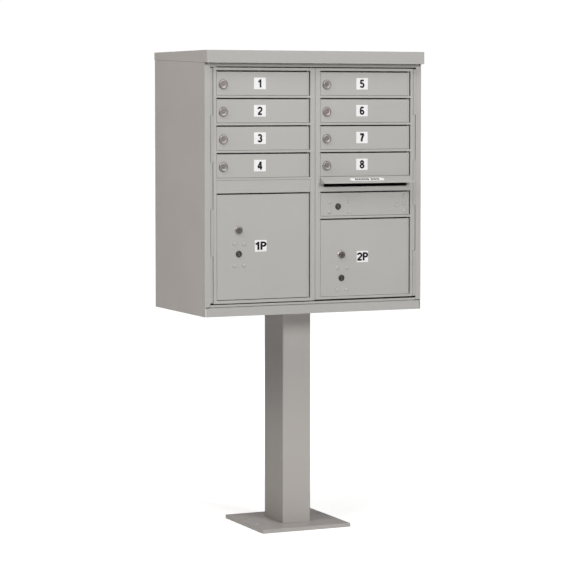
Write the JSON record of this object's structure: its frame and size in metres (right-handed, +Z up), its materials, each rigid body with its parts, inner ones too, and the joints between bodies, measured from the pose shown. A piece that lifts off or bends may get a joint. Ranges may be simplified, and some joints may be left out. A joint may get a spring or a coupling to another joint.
{
  "type": "cluster mailbox unit",
  "caption": "Pedestal-mounted outdoor cluster mailbox cabinet with numbered tenant doors, parcel lockers, an outgoing-mail slot and a carrier access door in hinged master doors.",
  "frame": {"origin": "centre of the base plate's underside, on the ground", "axes": "+X to the right as seen from the front, +Y from the doors towards the back, +Z up"},
  "size_m": [0.7746, 0.4742, 1.5748],
  "materials": {
    "cabinet_coat": "warm grey textured powder coat",
    "pedestal_coat": "warm grey powder coat",
    "zinc_sheet": "zinc plated",
    "lock_nickel": "satin nickel plate",
    "dark_lock_steel": "dark satin steel",
    "rod_steel": "bright drawn rod"
  },
  "bodies": {
    "cabinet": {"pedestal_base_plate": "pedestal_coat", "pedestal_post": "pedestal_coat", "pedestal_bolt_1": "zinc_sheet", "pedestal_bolt_2": "zinc_sheet", "pedestal_bolt_3": "zinc_sheet", "pedestal_bolt_4": "zinc_sheet", "floor_pan": "cabinet_coat", "top_pan": "cabinet_coat", "back_panel": "cabinet_coat", "left_side_panel": "cabinet_coat", "right_side_panel": "cabinet_coat", "roof_hood": "cabinet_coat", "centre_partition": "zinc_sheet", "shelf_row_1": "zinc_sheet", "shelf_row_2": "zinc_sheet", "shelf_row_3": "zinc_sheet", "shelf_row_4": "zinc_sheet", "outgoing_shelf": "zinc_sheet"},
    "left_master": {"left_master_door": "cabinet_coat", "blank_panel": "cabinet_coat", "left_column_hinge_rod": "rod_steel"},
    "right_master": {"right_master_door": "cabinet_coat", "outgoing_slot_hood": "cabinet_coat", "right_column_hinge_rod": "rod_steel"},
    "latch_bar": {"master_latch_bar": "zinc_sheet"},
    "tenant_1": {"tenant_door_1": "cabinet_coat", "tenant_lock_body_1": "lock_nickel"},
    "tenant_cam_1": {"tenant_lock_plug_1": "lock_nickel"},
    "tenant_2": {"tenant_door_2": "cabinet_coat", "tenant_lock_body_2": "lock_nickel"},
    "tenant_cam_2": {"tenant_lock_plug_2": "lock_nickel"},
    "tenant_3": {"tenant_door_3": "cabinet_coat", "tenant_lock_body_3": "lock_nickel"},
    "tenant_cam_3": {"tenant_lock_plug_3": "lock_nickel"},
    "tenant_4": {"tenant_door_4": "cabinet_coat", "tenant_lock_body_4": "lock_nickel"},
    "tenant_cam_4": {"tenant_lock_plug_4": "lock_nickel"},
    "tenant_5": {"tenant_door_5": "cabinet_coat", "tenant_lock_body_5": "lock_nickel"},
    "tenant_cam_5": {"tenant_lock_plug_5": "lock_nickel"},
    "tenant_6": {"tenant_door_6": "cabinet_coat", "tenant_lock_body_6": "lock_nickel"},
    "tenant_cam_6": {"tenant_lock_plug_6": "lock_nickel"},
    "tenant_7": {"tenant_door_7": "cabinet_coat", "tenant_lock_body_7": "lock_nickel"},
    "tenant_cam_7": {"tenant_lock_plug_7": "lock_nickel"},
    "tenant_8": {"tenant_door_8": "cabinet_coat", "tenant_lock_body_8": "lock_nickel"},
    "tenant_cam_8": {"tenant_lock_plug_8": "lock_nickel"},
    "parcel_1": {"parcel_door_1": "cabinet_coat", "parcel_lock_case_1": "lock_nickel"},
    "parcel_lever_1": {"parcel_upper_plug_1": "lock_nickel"},
    "parcel_cam_1": {"parcel_lower_plug_1": "dark_lock_steel"},
    "parcel_2": {"parcel_door_2": "cabinet_coat", "parcel_lock_case_2": "lock_nickel"},
    "parcel_lever_2": {"parcel_upper_plug_2": "lock_nickel"},
    "parcel_cam_2": {"parcel_lower_plug_2": "dark_lock_steel"},
    "carrier_access": {"carrier_door": "cabinet_coat", "carrier_lock_case": "dark_lock_steel"},
    "carrier_lever": {"carrier_lock_plug": "dark_lock_steel"}
  },
  "joints": [
    {"name": "left_master_hinge", "type": "hinge", "parent": "cabinet", "child": "left_master", "pos_m": [-0.362, -0.2138, 1.143], "axis": [0, 0, 1], "range_deg": [-95, 0]},
    {"name": "right_master_hinge", "type": "hinge", "parent": "cabinet", "child": "right_master", "pos_m": [0.362, -0.2138, 1.143], "axis": [0, 0, 1], "range_deg": [0, 95]},
    {"name": "master_latch_slide", "type": "slide", "parent": "right_master", "child": "latch_bar", "axis": [0, 0, 1], "range_m": [0, 0.012]},
    {"name": "tenant_door_1_hinge", "type": "hinge", "parent": "left_master", "child": "tenant_1", "pos_m": [-0.0246, -0.2138, 1.4681], "axis": [0, 0, 1], "range_deg": [0, 95]},
    {"name": "tenant_lock_1_turn", "type": "hinge", "parent": "tenant_1", "child": "tenant_cam_1", "pos_m": [-0.3227, -0.219, 1.466], "axis": [0, 1, 0], "range_deg": [0, 90]},
    {"name": "tenant_door_2_hinge", "type": "hinge", "parent": "left_master", "child": "tenant_2", "pos_m": [-0.0246, -0.2138, 1.3804], "axis": [0, 0, 1], "range_deg": [0, 95]},
    {"name": "tenant_lock_2_turn", "type": "hinge", "parent": "tenant_2", "child": "tenant_cam_2", "pos_m": [-0.3227, -0.219, 1.3783], "axis": [0, 1, 0], "range_deg": [0, 90]},
    {"name": "tenant_door_3_hinge", "type": "hinge", "parent": "left_master", "child": "tenant_3", "pos_m": [-0.0246, -0.2138, 1.2927], "axis": [0, 0, 1], "range_deg": [0, 95]},
    {"name": "tenant_lock_3_turn", "type": "hinge", "parent": "tenant_3", "child": "tenant_cam_3", "pos_m": [-0.3227, -0.219, 1.2906], "axis": [0, 1, 0], "range_deg": [0, 90]},
    {"name": "tenant_door_4_hinge", "type": "hinge", "parent": "left_master", "child": "tenant_4", "pos_m": [-0.0246, -0.2138, 1.205], "axis": [0, 0, 1], "range_deg": [0, 95]},
    {"name": "tenant_lock_4_turn", "type": "hinge", "parent": "tenant_4", "child": "tenant_cam_4", "pos_m": [-0.3227, -0.219, 1.2029], "axis": [0, 1, 0], "range_deg": [0, 90]},
    {"name": "tenant_door_5_hinge", "type": "hinge", "parent": "right_master", "child": "tenant_5", "pos_m": [0.3398, -0.2138, 1.4681], "axis": [0, 0, 1], "range_deg": [0, 95]},
    {"name": "tenant_lock_5_turn", "type": "hinge", "parent": "tenant_5", "child": "tenant_cam_5", "pos_m": [0.0417, -0.219, 1.466], "axis": [0, 1, 0], "range_deg": [0, 90]},
    {"name": "tenant_door_6_hinge", "type": "hinge", "parent": "right_master", "child": "tenant_6", "pos_m": [0.3398, -0.2138, 1.3804], "axis": [0, 0, 1], "range_deg": [0, 95]},
    {"name": "tenant_lock_6_turn", "type": "hinge", "parent": "tenant_6", "child": "tenant_cam_6", "pos_m": [0.0417, -0.219, 1.3783], "axis": [0, 1, 0], "range_deg": [0, 90]},
    {"name": "tenant_door_7_hinge", "type": "hinge", "parent": "right_master", "child": "tenant_7", "pos_m": [0.3398, -0.2138, 1.2927], "axis": [0, 0, 1], "range_deg": [0, 95]},
    {"name": "tenant_lock_7_turn", "type": "hinge", "parent": "tenant_7", "child": "tenant_cam_7", "pos_m": [0.0417, -0.219, 1.2906], "axis": [0, 1, 0], "range_deg": [0, 90]},
    {"name": "tenant_door_8_hinge", "type": "hinge", "parent": "right_master", "child": "tenant_8", "pos_m": [0.3398, -0.2138, 1.205], "axis": [0, 0, 1], "range_deg": [0, 95]},
    {"name": "tenant_lock_8_turn", "type": "hinge", "parent": "tenant_8", "child": "tenant_cam_8", "pos_m": [0.0417, -0.219, 1.2029], "axis": [0, 1, 0], "range_deg": [0, 90]},
    {"name": "parcel_door_1_hinge", "type": "hinge", "parent": "left_master", "child": "parcel_1", "pos_m": [-0.0246, -0.2138, 0.9453], "axis": [0, 0, 1], "range_deg": [0, 95]},
    {"name": "parcel_upper_lock_1_turn", "type": "hinge", "parent": "parcel_1", "child": "parcel_lever_1", "pos_m": [-0.2693, -0.219, 0.999], "axis": [0, -1, 0], "range_deg": [0, 90]},
    {"name": "parcel_lower_lock_1_turn", "type": "hinge", "parent": "parcel_1", "child": "parcel_cam_1", "pos_m": [-0.2693, -0.219, 0.9235], "axis": [0, 1, 0], "range_deg": [0, 90]},
    {"name": "parcel_door_2_hinge", "type": "hinge", "parent": "right_master", "child": "parcel_2", "pos_m": [0.3398, -0.2138, 0.90145], "axis": [0, 0, 1], "range_deg": [0, 95]},
    {"name": "parcel_upper_lock_2_turn", "type": "hinge", "parent": "parcel_2", "child": "parcel_lever_2", "pos_m": [0.0951, -0.219, 0.9113], "axis": [0, -1, 0], "range_deg": [0, 90]},
    {"name": "parcel_lower_lock_2_turn", "type": "hinge", "parent": "parcel_2", "child": "parcel_cam_2", "pos_m": [0.0951, -0.219, 0.8358], "axis": [0, 1, 0], "range_deg": [0, 90]},
    {"name": "carrier_door_hinge", "type": "hinge", "parent": "right_master", "child": "carrier_access", "pos_m": [0.3398, -0.2138, 1.0759], "axis": [0, 0, 1], "range_deg": [0, 95]},
    {"name": "carrier_lock_turn", "type": "hinge", "parent": "carrier_access", "child": "carrier_lever", "pos_m": [0.0829, -0.219, 1.0695], "axis": [0, -1, 0], "range_deg": [0, 90]}
  ]
}
